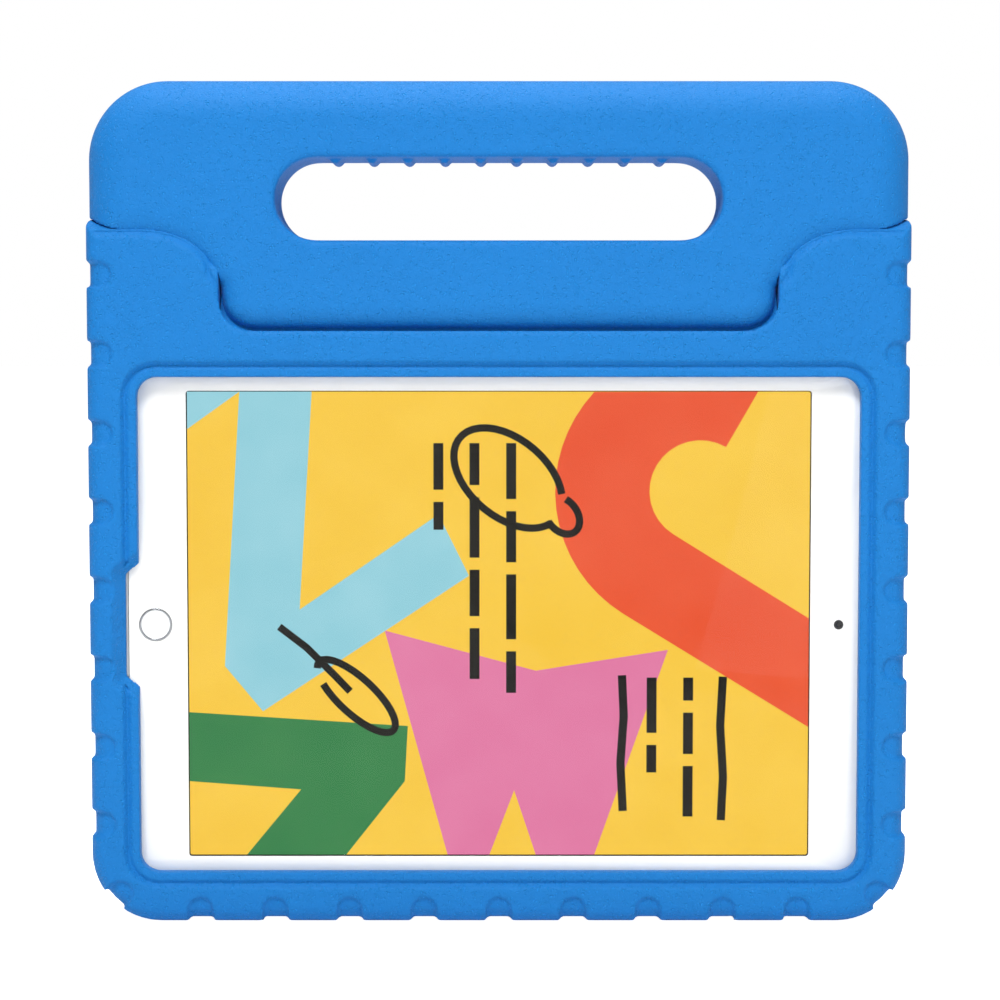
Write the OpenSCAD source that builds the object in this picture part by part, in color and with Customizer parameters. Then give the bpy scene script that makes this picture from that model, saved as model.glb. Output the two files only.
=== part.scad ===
// Child's foam tablet case with a folding carry handle, and the tablet that it holds.
// X runs across the screen, Y from the screen (-) to the back (+), and Z is up.
// The base stands at Z = 0, and X = 0 and Y = 0 are the middle of the case.

/* [Tablet] */
// Width of the tablet along X
tablet_w = 250.6; // [205:0.1:305]
// Height of the tablet along Z
tablet_h = 174.1; // [145:0.1:210]
// Thickness of the tablet
tablet_t = 7.5; // [7:0.1:9]
// Corner radius of the tablet
tablet_corner = 12; // [8:0.5:14]
// Wall of the metal housing
housing_wall = 1.3; // [1:0.1:1.6]
// Floor of the metal housing
housing_floor = 1; // [0.7:0.1:1.3]
// Width of the ledge that the glass sits on
glass_ledge = 3; // [2:0.1:4]
// Thickness of the cover glass
glass_t = 1.1; // [0.8:0.1:1.3]
// Gap between the glass and the housing rim
glass_gap = 0.2; // [0.1:0.05:0.4]
// Border from the tablet's short edge to the lit area
border_x = 21.4; // [18:0.1:25]
// Border from the tablet's long edge to the lit area
border_z = 9.1; // [8.5:0.1:12]

/* [Foam case] */
// Foam wall beside the tablet
side_wall = 11.5; // [9.5:0.1:14]
// Foam wall under the tablet
base_wall = 13.05; // [10:0.05:16]
// Foam bar between the tablet and the handle, at the front
top_bar = 11.75; // [11:0.05:20]
// Thickness of the case from front to back
case_d = 28; // [23:0.1:34]
// Depth of the screen behind the front of the case
screen_depth = 5.5; // [4.5:0.1:7]
// Clearance round the tablet in its pocket
pocket_gap = 0.2; // [0.1:0.05:0.4]
// Cover of the front lip over the tablet at the sides
lip_side = 5.2; // [4.4:0.1:6]
// Cover of the front lip over the tablet at the base and top
lip_end = 4.2; // [3.6:0.1:5]
// Width of the step round the window
step_w = 4.05; // [2:0.05:4.2]
// Depth of the step round the window
step_t = 1; // [0.5:0.1:1.5]
// Corner radius of the window
window_corner = 6.5; // [4:0.5:8]
// Radius of the bottom corners
case_corner = 23.3; // [16:0.1:26]
// Rounding of the outer edges
case_edge = 5.5; // [3:0.1:7]
// Reach of the thumb notch beside the home button, at the glass
notch_reach = 3.9; // [2:0.1:4]
// Half length of the thumb notch at the window's edge, at the glass
notch_half = 20; // [14:0.5:24]
// Slope of the notch's walls, as the run from the glass to the front
notch_flare = 4.8; // [2:0.1:4.8]
// Turn of the notch's ends from level
notch_turn = 40; // [20:1:45]
// Depth of the recess in the back
back_recess = 5; // [2:0.1:6]
// Border round the recess in the back
back_border = 38; // [34:0.5:44]

/* [Grooves] */
// Width of each edge groove
groove_w = 8.6; // [5:0.1:10]
// Reach of each groove over the front and back
groove_reach = 9; // [6:0.1:10]
// Depth of the grooves at the edge
groove_side = 1; // [0.5:0.1:1.5]
// Depth of the grooves on the front and back
groove_face = 0.55; // [0.3:0.05:0.8]
// Spacing of the side grooves
side_pitch = 26.2; // [20:0.1:31]
// Height of the lowest side groove
side_first = 33.5; // [30:0.1:38]
// Spacing of the base grooves
base_pitch = 25; // [20:0.1:30]

/* [Handle] */
// Rise of the handle above the hinge axis
handle_rise = 68.5; // [60:0.1:82]
// Radius of the handle's top corners
handle_corner = 26.5; // [20:0.1:27]
// Length of the grip hole
grip_w = 145.2; // [115:0.1:174]
// Height of the grip hole
grip_h = 26; // [22:0.1:28]
// Foam bar above the grip hole
grip_bar = 26.4; // [24:0.1:32]
// Number of finger ribs
rib_count = 10; // [6:1:10]
// Spacing of the finger ribs
rib_pitch = 12; // [8:0.1:12]
// Radius of each finger rib
rib_r = 1.7; // [1:0.1:2.5]
// Half width of the hinge tongue
tongue_half = 92.4; // [75:0.1:100]
// Height of the shoulder seam above the hinge axis, at the front
shoulder_rise = 19.1; // [16:0.1:21]
// Gap of the seam between handle and case
seam_gap = 0.4; // [0.3:0.05:0.8]

/* [Hinge pins] */
// Radius of each hinge pin
pin_r = 4; // [3:0.1:5]
// Length of pin in the handle
pin_in_handle = 14; // [10:0.5:20]
// Length of pin in the case
pin_in_case = 14; // [10:0.5:20]
// Radial running clearance of the pin in the case
pin_clearance = 0.05; // [0.02:0.01:0.1]

/* [Buttons and sockets] */
// Outer radius of the home button's ring
home_r = 5.45; // [4.5:0.05:6]
// Width of the ring
ring_w = 0.55; // [0.4:0.05:0.8]
// Middle of the home button from the tablet's short edge
home_inset = 10.4; // [9.5:0.1:10.4]
// Travel of the home button
home_travel = 0.3; // [0.2:0.05:0.35]
// Length of each edge button
key_w = 10; // [8:0.1:11]
// Width of each edge button
key_t = 2.4; // [2:0.1:2.8]
// Stand-out of each edge button
key_proud = 0.5; // [0.4:0.05:0.7]
// Travel of each edge button
key_travel = 0.4; // [0.3:0.05:0.4]
// Clearance round each button in its hole
key_gap = 0.15; // [0.1:0.01:0.2]
// Distance of the power button from the tablet's lower edge
power_inset = 33.5; // [28:0.1:36]
// Distance between the middles of the volume buttons
volume_pitch = 12; // [11.5:0.1:13]
// Distance of the volume pair from the tablet's right edge
volume_inset = 37.8; // [34:0.1:42]
// Radius of the headphone socket's bore
jack_r = 1.78; // [1.7:0.01:1.85]
// Depth of the headphone socket's bore
jack_depth = 14; // [12:0.5:15]
// Distance of the headphone socket from the tablet's upper edge
jack_inset = 22.75; // [18:0.05:26]
// Distance from the charging socket to each speaker
speaker_offset = 26.2; // [24:0.1:30]
// Distance of the rear camera from the tablet's two near edges
camera_inset = 11.5; // [11:0.1:13]

/* [Hidden] */
$fn = 48;

// outer form
case_w = tablet_w + 2 * side_wall;
half_d = case_d / 2;
glass_y = screen_depth - half_d;
tablet_z = base_wall + tablet_h / 2;
tablet_x1 = tablet_w / 2;
tablet_z0 = base_wall;
tablet_z1 = base_wall + tablet_h;
tongue_z = tablet_z1 + top_bar;
hinge_z = tongue_z + half_d;
top_z = hinge_z + handle_rise;
past = 1;
back_top = back_border - 6;
recess_corner = 14;
plug_r = 4;
plug_w = 16;
plug_t = 8;
sound_w = 14;
sound_t = 5;
sound_r = 0.7;
sound_pitch = 2.4;
finger_room = 2;
finger_t = 7;
rib_inset = 5;
blue = "#2f8fe8";
deep_blue = "#2a86de";

// depths behind the face of the glass
gasket_t = 0.25;
ledge_depth = glass_t + gasket_t;
floor_depth = tablet_t - housing_floor;
display_top = glass_t + 0.1;
display_t = 2.2;
display_rim = 3.1;
display_x = tablet_x1 - border_x + display_rim;
display_z = tablet_h / 2 - border_z + display_rim - 0.55;
cavity_x = tablet_x1 - housing_wall - glass_ledge;
cavity_z = tablet_h / 2 - housing_wall - glass_ledge;
inner_top = display_top + display_t;
battery_top = inner_top + 0.25;
battery_t = floor_depth - battery_top;
board_t = 0.8;
board_top = floor_depth - board_t;
port_w = 10.5;
port_t = 3.1;
port_depth = floor_depth - port_t / 2;
key_depth = tablet_t - 3.6;
home_x = home_inset - tablet_x1;
eye_inset = 11.5;
eye_r = 1.5;
camera_x = tablet_x1 - camera_inset;
camera_z = tablet_z0 + camera_inset;
camera_r = 3.5;
view_r = camera_r + 4;
view_back_r = 13;
jack_z = tablet_z1 - jack_inset;
power_z = tablet_z0 + power_inset;
volume_x = tablet_x1 - volume_inset;
tab = 3;
tab_t = 0.6;
screw_x = display_x + tab;
screw_dz = tablet_h * 0.29;
shank_r = 0.8;
post_r = 2.2;
post_end = 0.4;
jack_body_r = 2.4;
switch_d = 3;
switch_t = 2.2;
foot_room = 0.25;
flange_t = 0.6;
flange_lip = 1;
key_room = 0.3;
flex_t = 0.2;
home_sink = 0.08;
home_fit = 0.06;
home_t = 1.3;
bracket_t = 0.4;
switch_depth = home_sink + home_t + home_travel + 0.1;
bracket_end = switch_depth + 0.8;

// the hinge seam at the front of the case: an upper and a lower quarter ellipse with a short slope between
upper_w = 22.6;
upper_h = 14;
lower_w = 11.6;
lower_h = 9.6;
slope_x = 1;
steps = 8;
tongue_drop = hinge_z - tongue_z;
function seam_r(x, z, s, g) = [sqrt(half_d * half_d + z * z) + g, x + s];
function shoulder_curve(s, g) = [for (i = [0 : steps])
    let (a = 90 * i / steps)
    seam_r(tongue_half + slope_x + upper_w * (1 - cos(a)),
        shoulder_rise - upper_h + upper_h * sin(a), s, g)];
function tongue_curve(s, g) = [for (i = [0 : steps])
    let (a = 90 * i / steps)
    seam_r(tongue_half - slope_x / 2 - lower_w * (1 - cos(a)),
        lower_h - tongue_drop - lower_h * sin(a), s, g)];

function arc(x, y, r, from, to, n = 8) =
    [for (i = [0 : n]) let (a = from + (to - from) * i / n) [x + r * cos(a), y + r * sin(a)]];
function rounded(x0, x1, y0, y1, r) = concat(
    arc(x1 - r, y1 - r, r, 0, 90), arc(x0 + r, y1 - r, r, 90, 180),
    arc(x0 + r, y0 + r, r, 180, 270), arc(x1 - r, y0 + r, r, 270, 360));

// an outline in X and Z, made solid from y0 back to y1
module front_prism(y0, y1) {
    translate([0, y1, 0]) rotate([90, 0, 0]) linear_extrude(height = y1 - y0) children();
}

// an outline in Y and Z, made solid from x0 to x1
module side_prism(x0, x1) {
    translate([x0, 0, 0]) rotate([90, 0, 90]) linear_extrude(height = x1 - x0) children();
}

module block(x0, x1, y0, y1, z0, z1) {
    translate([x0, y0, z0]) cube([x1 - x0, y1 - y0, z1 - z0]);
}

// a block by its depths behind the glass, with X and Z from the middle of the tablet
module layer(x0, x1, depth0, depth1, z0, z1) {
    block(x0, x1, glass_y + depth0, glass_y + depth1, tablet_z + z0, tablet_z + z1);
}

module layer_prism(depth0, depth1) {
    translate([0, 0, tablet_z]) front_prism(glass_y + depth0, glass_y + depth1) children();
}

// a solid of revolution round the hinge axis, from points of radius and X
module round_axis(points) {
    translate([0, 0, hinge_z]) rotate([0, 90, 0]) rotate_extrude($fn = 96) polygon(points);
}

module both_sides() {
    children();
    mirror([1, 0, 0]) children();
}

// local +Z points out of the tablet's right edge, its local X is up
module at_right_edge(z) {
    translate([tablet_x1, glass_y + key_depth, z]) rotate([0, 90, 0]) children();
}

// local +Z points down out of the tablet's lower edge
module at_lower_edge(x) {
    translate([x, glass_y + key_depth, tablet_z0]) mirror([0, 0, 1]) children();
}

// ---- foam case ----

module slab(w, d, z0, z1, edge, corner) {
    intersection() {
        front_prism(-case_d, case_d) polygon(concat([[w / 2, z1], [-w / 2, z1]],
            arc(corner - w / 2, z0 + corner, corner, 180, 270),
            arc(w / 2 - corner, z0 + corner, corner, 270, 360)));
        translate([0, 0, z0 - past]) linear_extrude(height = z1 - z0 + 2 * past)
            polygon(rounded(-w / 2, w / 2, -d / 2, d / 2, edge));
        side_prism(-case_w, case_w) polygon(concat([[d / 2, z1], [-d / 2, z1]],
            arc(edge - d / 2, z0 + edge, edge, 180, 270, 6),
            arc(d / 2 - edge, z0 + edge, edge, 270, 360, 6)));
    }
}

module knuckle(s, g) {
    round_axis(concat([[0, tongue_half + s], [half_d + g, tongue_half + s]],
        shoulder_curve(s, g),
        [[norm([half_d, shoulder_rise]) + g, case_w / 2 + past], [0, case_w / 2 + past]]));
}

module tongue_round(s, g) {
    round_axis(concat([[0, tongue_half + s], [half_d + g, tongue_half + s]],
        tongue_curve(s, g), [[norm([half_d, tongue_drop]) + g, 0], [0, 0]]));
}

// a groove outline at the origin that runs in from the edge along +X
module groove_outline() {
    polygon(concat([[-past, -groove_w / 2], [groove_reach - groove_w / 2, -groove_w / 2]],
        arc(groove_reach - groove_w / 2, 0, groove_w / 2, -90, 90),
        [[-past, groove_w / 2]]));
}

module groove_set() {
    side_count = floor((hinge_z + shoulder_rise - groove_w - side_first) / side_pitch) + 1;
    base_count = floor((case_w / 2 - case_corner - groove_w) / base_pitch);
    middle = case_w / 2 - case_corner + case_corner * cos(45);
    front_prism(-case_d, case_d) {
        for (side = [0, 1]) mirror([side, 0]) {
            for (i = [0 : side_count - 1])
                translate([-case_w / 2, side_first + i * side_pitch]) groove_outline();
            translate([-middle, case_corner * (1 - cos(45))]) rotate(45) groove_outline();
        }
        for (i = [-base_count : base_count])
            translate([i * base_pitch, 0]) rotate(90) groove_outline();
    }
}

module grooves() {
    difference() {
        groove_set();
        slab(case_w - 2 * groove_side, case_d - 2 * groove_face, groove_side, top_z, case_edge,
            case_corner - groove_side);
    }
}

module pocket() {
    x = tablet_x1 + pocket_gap;
    layer_prism(0, tablet_t) polygon(rounded(-x, x,
        -tablet_h / 2 - pocket_gap, tablet_h / 2 + pocket_gap, tablet_corner + pocket_gap));
}

module window() {
    x = tablet_x1 - lip_side;
    z = tablet_h / 2 - lip_end;
    layer_prism(-case_d, past) polygon(rounded(-x, x, -z, z, window_corner));
    layer_prism(-case_d, step_t - screen_depth) polygon(
        rounded(-x - step_w, x + step_w, -z - step_w, z + step_w, window_corner + step_w));
}

// thumb notch beside the home button: its far wall and both ends slope out towards the front
module thumb_notch() {
    lip_x = lip_side - tablet_x1;
    floor_x = lip_x - notch_reach;
    slope = notch_flare / screen_depth;
    intersection() {
        translate([0, 0, tablet_z0]) linear_extrude(height = tablet_h)
            polygon([[lip_x + past, glass_y], [floor_x, glass_y],
                [floor_x - notch_flare - past * slope, -half_d - past],
                [lip_x + past, -half_d - past]]);
        notch_end(lip_x, atan(slope));
        translate([0, 0, 2 * tablet_z]) mirror([0, 0, 1]) notch_end(lip_x, atan(slope));
    }
}

// everything below the notch's upper end
module notch_end(x, tilt) {
    translate([x, glass_y, tablet_z + notch_half])
        rotate([0, -notch_turn, 0]) rotate([-tilt, 0, 0])
            block(-case_d, case_d, -case_d, case_d, -tablet_h, 0);
}

module left_window(y, z, w, t) {
    block(-case_w / 2 - past, -tablet_x1, y - t / 2, y + t / 2, z - w / 2, z + w / 2);
}

module side_windows() {
    port_y = glass_y + port_depth;
    left_window(port_y, tablet_z, plug_w, plug_t);
    for (side = [-1, 1])
        left_window(port_y, tablet_z + side * speaker_offset, sound_w, sound_t);
    at_right_edge(jack_z) cylinder(r = plug_r, h = side_wall + past);
    power_w = key_w + 2 * finger_room;
    volume_w = key_w + volume_pitch + 2 * finger_room - 2;
    at_right_edge(power_z) translate([-power_w / 2, -finger_t / 2, 0])
        cube([power_w, finger_t, side_wall + past]);
    at_lower_edge(volume_x) translate([-volume_w / 2, -finger_t / 2, 0])
        cube([volume_w, finger_t, base_wall + past]);
}

module camera_window() {
    translate([camera_x, glass_y + tablet_t, camera_z]) rotate([-90, 0, 0])
        cylinder(r1 = view_r, r2 = view_back_r, h = half_d - glass_y - tablet_t + past);
    translate([camera_x, glass_y, camera_z]) rotate([-90, 0, 0])
        cylinder(r = view_r, h = tablet_t + past);
}

module back_hollow() {
    x = case_w / 2 - back_border;
    front_prism(half_d - back_recess, half_d + past) polygon(
        rounded(-x, x, back_border, tongue_z - back_top, recess_corner));
}

module pin_bore() {
    translate([tongue_half - past, 0, hinge_z]) rotate([0, 90, 0])
        cylinder(r = pin_r + pin_clearance, h = pin_in_case + 2 * past);
}

// only the knuckles fill the quarter behind the hinge line, where the handle comes when it folds back
module foam_case() {
    color(blue) difference() {
        intersection() {
            slab(case_w, case_d, 0, top_z, case_edge, case_corner);
            union() {
                block(-case_w, case_w, -case_d, 0, -past, hinge_z);
                block(-case_w, case_w, -case_d, case_d, -past, hinge_z - half_d - seam_gap);
                both_sides() knuckle(seam_gap / 2, -seam_gap / 2);
            }
        }
        both_sides() tongue_round(seam_gap / 2, seam_gap / 2);
        grooves();
        pocket();
        window();
        thumb_notch();
        side_windows();
        camera_window();
        back_hollow();
        both_sides() pin_bore();
    }
}

// ---- handle ----

module handle_form() {
    edge = half_d - 0.1; // leaves a narrow flat, so that no edge is a knife
    intersection() {
        front_prism(-case_d, case_d) polygon(concat([[-case_w / 2, hinge_z], [case_w / 2, hinge_z]],
            arc(case_w / 2 - handle_corner, top_z - handle_corner, handle_corner, 0, 90),
            arc(handle_corner - case_w / 2, top_z - handle_corner, handle_corner, 90, 180)));
        translate([0, 0, hinge_z - past]) linear_extrude(height = handle_rise + 2 * past)
            polygon(rounded(-case_w / 2, case_w / 2, -half_d, half_d, edge));
        side_prism(-case_w, case_w) polygon(concat([[-half_d, hinge_z - past]],
            [[half_d, hinge_z - past]], arc(half_d - edge, top_z - edge, edge, 0, 90),
            arc(edge - half_d, top_z - edge, edge, 90, 180)));
    }
}

module grip_hole() {
    z1 = top_z - grip_bar;
    front_prism(-case_d, case_d) polygon(
        rounded(-grip_w / 2, grip_w / 2, z1 - grip_h, z1, grip_h / 2 - 0.05));
}

module finger_ribs() {
    sink = 0.2;
    for (i = [0 : rib_count - 1])
        translate([(i - (rib_count - 1) / 2) * rib_pitch, half_d - rib_inset,
            top_z - grip_bar + sink])
            rotate([90, 0, 0]) cylinder(r = rib_r, h = case_d - 2 * rib_inset);
}

module handle() {
    color(deep_blue) difference() {
        union() {
            difference() {
                handle_form();
                both_sides() knuckle(-seam_gap / 2, seam_gap / 2);
                grip_hole();
            }
            intersection() {
                both_sides() tongue_round(-seam_gap / 2, -seam_gap / 2);
                block(-case_w, case_w, -half_d, half_d, 0, hinge_z + past);
            }
            finger_ribs();
        }
        both_sides() translate([tongue_half - pin_in_handle, 0, hinge_z]) rotate([0, 90, 0])
            cylinder(r = pin_r, h = pin_in_handle + past);
    }
}

module hinge_pin() {
    bevel = 0.6;
    length = pin_in_handle + pin_in_case;
    translate([tongue_half - pin_in_handle, 0, hinge_z]) rotate([0, 90, 0]) rotate_extrude()
        polygon([[0, 0], [pin_r, 0], [pin_r, length - bevel], [pin_r - bevel, length], [0, length]]);
}

module hinge_pin_left() {
    color("#e8eaec") mirror([1, 0, 0]) hinge_pin();
}

module hinge_pin_right() {
    color("#e8eaec") hinge_pin();
}

// ---- tablet shell ----

module key_hole() {
    w = key_w + 2 * key_gap;
    t = key_t + 2 * key_gap;
    translate([-w / 2, -t / 2, -2 * housing_wall]) cube([w, t, 3 * housing_wall]);
    translate([-w / 2 - flange_lip, -t / 2 - key_room, -housing_wall - glass_ledge - past])
        cube([w + 2 * flange_lip, t + 2 * key_room, glass_ledge + past]);
}

module rear_housing() {
    x = tablet_x1 - housing_wall;
    z = tablet_h / 2 - housing_wall;
    y = glass_y + tablet_t;
    color("#c9ccd0") difference() {
        union() {
            difference() {
                layer_prism(0, tablet_t) polygon(
                    rounded(-tablet_x1, tablet_x1, -tablet_h / 2, tablet_h / 2, tablet_corner));
                layer_prism(-past, ledge_depth)
                    polygon(rounded(-x, x, -z, z, tablet_corner - housing_wall));
                layer_prism(-past, floor_depth) polygon(rounded(-cavity_x, cavity_x,
                    -cavity_z, cavity_z, tablet_corner - housing_wall - glass_ledge));
            }
            screw_posts();
        }
        at_right_edge(power_z) key_hole();
        for (side = [-1, 1]) at_lower_edge(volume_x + side * volume_pitch / 2) key_hole();
        at_right_edge(jack_z) translate([0, 0, -glass_ledge - 2 * housing_wall])
            cylinder(r = jack_body_r, h = glass_ledge + 3 * housing_wall);
        layer(-tablet_x1 - past, -cavity_x + past, port_depth - port_t / 2, floor_depth,
            -port_w / 2, port_w / 2);
        for (side = [-1, 1], i = [-2 : 2])
            translate([-tablet_x1 - past, glass_y + port_depth,
                tablet_z + side * speaker_offset + i * sound_pitch])
                rotate([0, 90, 0]) cylinder(r = sound_r, h = glass_ledge + housing_wall + 2 * past);
        translate([camera_x, y - housing_floor - past, camera_z]) rotate([-90, 0, 0])
            cylinder(r = camera_r, h = housing_floor + 2 * past);
    }
}

module screw_posts() {
    for (sx = [-1, 1], sz = [-1, 1])
        translate([sx * screw_x, glass_y + floor_depth, tablet_z + sz * screw_dz])
            rotate([90, 0, 0]) difference() {
                cylinder(r = post_r, h = floor_depth - inner_top);
                translate([0, 0, post_end]) cylinder(r = shank_r, h = tablet_t);
            }
}

module cover_glass() {
    x = tablet_x1 - housing_wall - glass_gap;
    z = tablet_h / 2 - housing_wall - glass_gap;
    color("#f4f6f8") difference() {
        layer_prism(0, glass_t)
            polygon(rounded(-x, x, -z, z, tablet_corner - housing_wall - glass_gap));
        translate([home_x, glass_y - past, tablet_z]) rotate([-90, 0, 0])
            cylinder(r = home_r + key_gap, h = glass_t + 2 * past);
    }
}

module glass_gasket() {
    x = tablet_x1 - housing_wall - glass_gap;
    z = tablet_h / 2 - housing_wall - glass_gap;
    inner_x = cavity_x + 0.2;
    inner_z = cavity_z + 0.2;
    color("#2b2d30") difference() {
        layer_prism(glass_t, ledge_depth)
            polygon(rounded(-x, x, -z, z, tablet_corner - housing_wall - glass_gap));
        layer_prism(0, tablet_t) polygon(rounded(-inner_x, inner_x, -inner_z, inner_z,
            tablet_corner - housing_wall - glass_ledge));
    }
}

// ---- display ----

module display_panel() {
    color("#f8cc4a") difference() {
        union() {
            layer(-display_x, display_x, display_top, inner_top, -display_z, display_z);
            for (side = [0, 1], sz = [-1, 1]) mirror([side, 0, 0])
                layer(display_x - tab / 2, display_x + 2 * tab, inner_top - tab_t, inner_top,
                    sz * screw_dz - tab, sz * screw_dz + tab);
        }
        for (sx = [-1, 1], sz = [-1, 1])
            translate([sx * screw_x, glass_y, tablet_z + sz * screw_dz]) rotate([-90, 0, 0])
                cylinder(r = shank_r + 0.1, h = tablet_t);
    }
}

module display_screws() {
    head_r = 1.6;
    head_t = 0.7;
    shank = 2.6;
    color("#8d9095") for (sx = [-1, 1], sz = [-1, 1])
        translate([sx * screw_x, glass_y + inner_top - tab_t, tablet_z + sz * screw_dz])
            rotate([-90, 0, 0]) union() {
                translate([0, 0, -head_t]) cylinder(r = head_r, h = head_t);
                translate([0, 0, -head_t / 2]) cylinder(r = shank_r, h = shank + head_t / 2);
            }
}

module display_cable() {
    half = 9;
    x = display_x - 20;
    color("#c9812e") union() {
        layer(x - 6, x, inner_top, inner_top + flex_t, -half, half);
        layer(x - flex_t, x, inner_top, board_top, -half, half);
    }
}

module touch_cable() {
    x = display_x + 0.6;
    z0 = 17;
    z1 = 27;
    color("#c9812e") union() {
        layer(x, x + 4, glass_t, glass_t + flex_t, z0, z1);
        layer(x, x + flex_t, glass_t, board_top, z0, z1);
        layer(display_x - 3, x + flex_t, board_top - flex_t, board_top, z0, z1);
    }
}

// ---- home button ----

module home_button() {
    color("#fbfbfb") translate([home_x, glass_y + home_sink, tablet_z]) rotate([-90, 0, 0])
        cylinder(r = home_r - ring_w - home_fit, h = home_t);
}

module home_button_ring() {
    ring_t = glass_t;
    color("#b9bcc2") translate([home_x, glass_y + 0.02, tablet_z]) rotate([-90, 0, 0])
        difference() {
            cylinder(r = home_r, h = ring_t);
            translate([0, 0, -past]) cylinder(r = home_r - ring_w, h = ring_t + 2 * past);
        }
}

module home_button_bracket() {
    half = 12;
    foot = 3;
    color("#9a9da2") union() {
        layer(home_x - 5.5, home_x + 6, bracket_end - bracket_t, bracket_end, -half, half);
        translate([home_x, glass_y + switch_depth, tablet_z]) rotate([-90, 0, 0])
            cylinder(r = 1.8, h = bracket_end - switch_depth - bracket_t / 2);
        for (z = [-half, half - foot])
            layer(home_x - 5.5, home_x - 3.5, glass_t, bracket_end, z, z + foot);
    }
}

module home_button_cable() {
    half = 1.4;
    x0 = home_x + 3;
    drop = battery_top + 1;
    color("#c9812e") union() {
        layer(x0, x0 + flex_t, bracket_end, drop, -half, half);
        layer(x0, display_x - 30, drop - flex_t, drop, -half, half);
    }
}

// ---- cameras ----

module front_camera() {
    x = tablet_x1 - eye_inset;
    half = 3;
    color("#1c1e22") union() {
        layer(x - half, x + half, glass_t + 1.2, glass_t + 4, -half, half);
        translate([x, glass_y + glass_t, tablet_z]) rotate([-90, 0, 0])
            cylinder(r = eye_r, h = 1.3);
    }
}

module rear_camera() {
    y = glass_y + floor_depth;
    half = camera_r + 1;
    color("#26282c") block(camera_x - half, camera_x + half, y - 4.2, y,
        camera_z - half, camera_z + half);
}

module rear_camera_lens() {
    color("#101216") translate([camera_x, glass_y + floor_depth, camera_z]) rotate([-90, 0, 0])
        cylinder(r = camera_r - 0.05, h = housing_floor);
}

// ---- power and boards ----

module battery(side) {
    x = display_x - 32;
    z0 = side * 2.4;
    z1 = side * (display_z - 4);
    color("#34363a") layer(-x, x, battery_top, battery_top + battery_t, min(z0, z1), max(z0, z1));
}

module battery_cell_upper() {
    battery(1);
}

module battery_cell_lower() {
    battery(-1);
}

module logic_board() {
    color("#1f5c43") layer(display_x - 27, display_x - 1, board_top, floor_depth,
        -display_z + 10, display_z - 10);
}

module shield_cans() {
    can_h = 1.2;
    half = 14;
    pitch = 40;
    color("#b4b7bb") for (i = [-1, 0, 1])
        layer(display_x - 18, display_x - 4, board_top - can_h, board_top,
            i * pitch - half, i * pitch + half);
}

module speaker(side) {
    z = side * speaker_offset;
    half = 11;
    color("#3a3c40") layer(0.5 - cavity_x, -display_x - 0.5, ledge_depth + 1.2, floor_depth,
        z - half, z + half);
}

module speaker_upper() {
    speaker(1);
}

module speaker_lower() {
    speaker(-1);
}

module charge_port() {
    wall = 0.6;
    w = port_w / 2;
    t = port_t / 2;
    color("#d7dadd") difference() {
        layer(0.2 - tablet_x1, 12.5 - tablet_x1, port_depth - t, port_depth + t, -w, w);
        layer(-tablet_x1, 9 - tablet_x1, port_depth + wall - t, port_depth + t - wall,
            wall - w, w - wall);
    }
}

module headphone_jack() {
    color("#2c2e33") at_right_edge(jack_z) translate([0, 0, -jack_depth - 1.2]) difference() {
        cylinder(r = jack_body_r, h = jack_depth + 1);
        translate([0, 0, 1]) cylinder(r = jack_r, h = jack_depth + past);
    }
}

module antennas() {
    z = cavity_z - 0.4;
    color("#e6e2d6") for (sx = [-1, 1])
        layer(sx * tablet_x1 * 0.55 - 20, sx * tablet_x1 * 0.55 + 20, battery_top, floor_depth,
            z - 2, z);
}

module microphone() {
    color("#c8c9cc") translate([cavity_x - 2, glass_y + floor_depth, tablet_z + 30])
        rotate([90, 0, 0]) cylinder(r = 1.5, h = 1.2);
}

// ---- edge buttons ----

module key() {
    top = key_proud;
    foot = -housing_wall - 0.05;
    union() {
        translate([-key_w / 2, -key_t / 2, foot - flange_t / 2])
            cube([key_w, key_t, top - foot + flange_t / 2]);
        translate([-key_w / 2 - flange_lip + 0.2, -key_t / 2, foot - flange_t])
            cube([key_w + 2 * flange_lip - 0.4, key_t, flange_t]);
    }
}

// a dome switch behind a button, on a foot that stands on the housing's floor
module key_switch() {
    top = -housing_wall - 0.05 - flange_t - key_travel - 0.1;
    translate([-2.5, -switch_t / 2, top - switch_d]) cube([5, switch_t, switch_d]);
    switch_foot(5);
}

// a foot on the floor of the tray, between the ledge and the display
module switch_foot(w) {
    start = housing_wall + glass_ledge + 0.1;
    end = tablet_h / 2 - display_z - foot_room;
    translate([-w / 2, -switch_t / 2, -end])
        cube([w, switch_t / 2 + floor_depth - key_depth, end - start]);
}

module power_button() {
    color("#cfd2d6") at_right_edge(power_z) key();
}

module power_switch() {
    color("#5b5e63") union() at_right_edge(power_z) key_switch();
}

module volume_up_button() {
    color("#cfd2d6") at_lower_edge(volume_x + volume_pitch / 2) key();
}

module volume_down_button() {
    color("#cfd2d6") at_lower_edge(volume_x - volume_pitch / 2) key();
}

module volume_switches() {
    color("#5b5e63") union() {
        for (side = [-1, 1]) at_lower_edge(volume_x + side * volume_pitch / 2) key_switch();
        at_lower_edge(volume_x) switch_foot(volume_pitch + 8);
    }
}

foam_case();
handle();
hinge_pin_left();
hinge_pin_right();
rear_housing();
cover_glass();
glass_gasket();
display_panel();
display_screws();
home_button();
home_button_ring();
home_button_bracket();
home_button_cable();
front_camera();
rear_camera();
rear_camera_lens();
battery_cell_upper();
battery_cell_lower();
logic_board();
shield_cans();
display_cable();
touch_cable();
speaker_upper();
speaker_lower();
charge_port();
headphone_jack();
power_button();
power_switch();
volume_up_button();
volume_down_button();
volume_switches();
antennas();
microphone();
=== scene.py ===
"""The looks of a child's foam tablet case with a folding handle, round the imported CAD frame."""
from math import cos, hypot, pi, radians, sin, tan

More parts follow.
